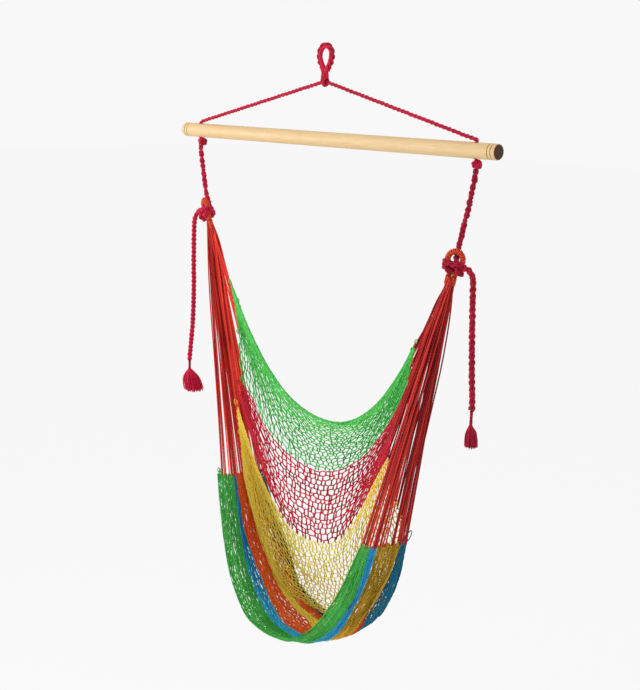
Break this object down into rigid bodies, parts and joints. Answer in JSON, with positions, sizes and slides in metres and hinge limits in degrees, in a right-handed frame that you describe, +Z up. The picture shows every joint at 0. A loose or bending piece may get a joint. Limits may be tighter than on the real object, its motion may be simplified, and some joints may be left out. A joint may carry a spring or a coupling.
{
  "type": "hammock chair",
  "caption": "Hanging net chair: rope eye, wooden spreader bar on one rope, and a striped woven sling tied to it by two knotted drop ropes with tasselled tails.",
  "frame": {"origin": "inside top of the hanging eye, where a hook carries the chair", "axes": "+Z up, +X along the spreader bar to the lower end of the sling, -Y the way the sitter faces"},
  "size_m": [0.915, 0.2157, 1.3455],
  "materials": {
    "crimson_rope": "braided cotton rope, matt",
    "pale_wood": "sanded hardwood, satin",
    "dark_wood": "dark brown end disc, satin",
    "orange_thread": "tightly wound cotton thread",
    "red_string": "twisted cotton string",
    "green_cord": "twisted cotton cord",
    "blue_cord": "twisted cotton cord",
    "orange_red_cord": "twisted cotton cord",
    "yellow_cord": "twisted cotton cord",
    "teal_cord": "twisted cotton cord",
    "crimson_cord": "twisted cotton cord"
  },
  "bodies": {
    "eye": {"hanging_eye": "crimson_rope"},
    "throat": {"eye_throat": "crimson_rope"},
    "bight": {"eye_bight": "crimson_rope"},
    "spreader": {"hanger_rope": "crimson_rope", "spreader_bar": "pale_wood", "end_disc_left": "dark_wood", "end_disc_right": "dark_wood", "stopper_knot_left": "crimson_rope", "stopper_knot_right": "crimson_rope"},
    "sling": {"drop_rope_left": "crimson_rope", "sling_eye_left": "orange_thread", "hitch_knot_left": "crimson_rope", "neck_whipping_left": "orange_thread", "end_strings_left": "red_string", "drop_rope_right": "crimson_rope", "sling_eye_right": "orange_thread", "hitch_knot_right": "crimson_rope", "neck_whipping_right": "orange_thread", "end_strings_right": "red_string", "net_green_front": "green_cord", "net_blue": "blue_cord", "net_orange_red": "orange_red_cord", "net_yellow_front": "yellow_cord", "net_red": "orange_red_cord", "net_teal": "teal_cord", "net_yellow_back": "yellow_cord", "net_crimson": "crimson_cord", "net_green_back": "green_cord"},
    "tail_left": {"tail_rope_left": "crimson_rope", "tail_binding_left": "crimson_rope", "tassel_left": "crimson_rope"},
    "tail_right": {"tail_rope_right": "crimson_rope", "tail_binding_right": "crimson_rope", "tassel_right": "crimson_rope"}
  },
  "joints": [
    {"name": "swivel", "type": "hinge", "parent": "eye", "child": "throat", "pos_m": [0, 0, -0.044], "axis": [0, 0, 1], "range_deg": [-90, 90], "stiffness_Nm_per_rad": 0.05},
    {"name": "sway", "type": "hinge", "parent": "throat", "child": "bight", "pos_m": [0, 0, -0.06905], "axis": [0, 1, 0], "range_deg": [-20, 20]},
    {"name": "swing", "type": "hinge", "parent": "bight", "child": "spreader", "pos_m": [0, 0, -0.06905], "axis": [1, 0, 0], "range_deg": [-35, 35]},
    {"name": "sling_swing", "type": "hinge", "parent": "spreader", "child": "sling", "pos_m": [0, 0, -0.2321], "axis": [1, 0, 0], "range_deg": [-45, 45]},
    {"name": "tail_left_swing", "type": "hinge", "parent": "sling", "child": "tail_left", "pos_m": [-0.39591, 0, -0.38388], "axis": [1, 0, 0], "range_deg": [-45, 45]},
    {"name": "tail_right_swing", "type": "hinge", "parent": "sling", "child": "tail_right", "pos_m": [0.38801, 0, -0.42165], "axis": [1, 0, 0], "range_deg": [-45, 45]}
  ]
}
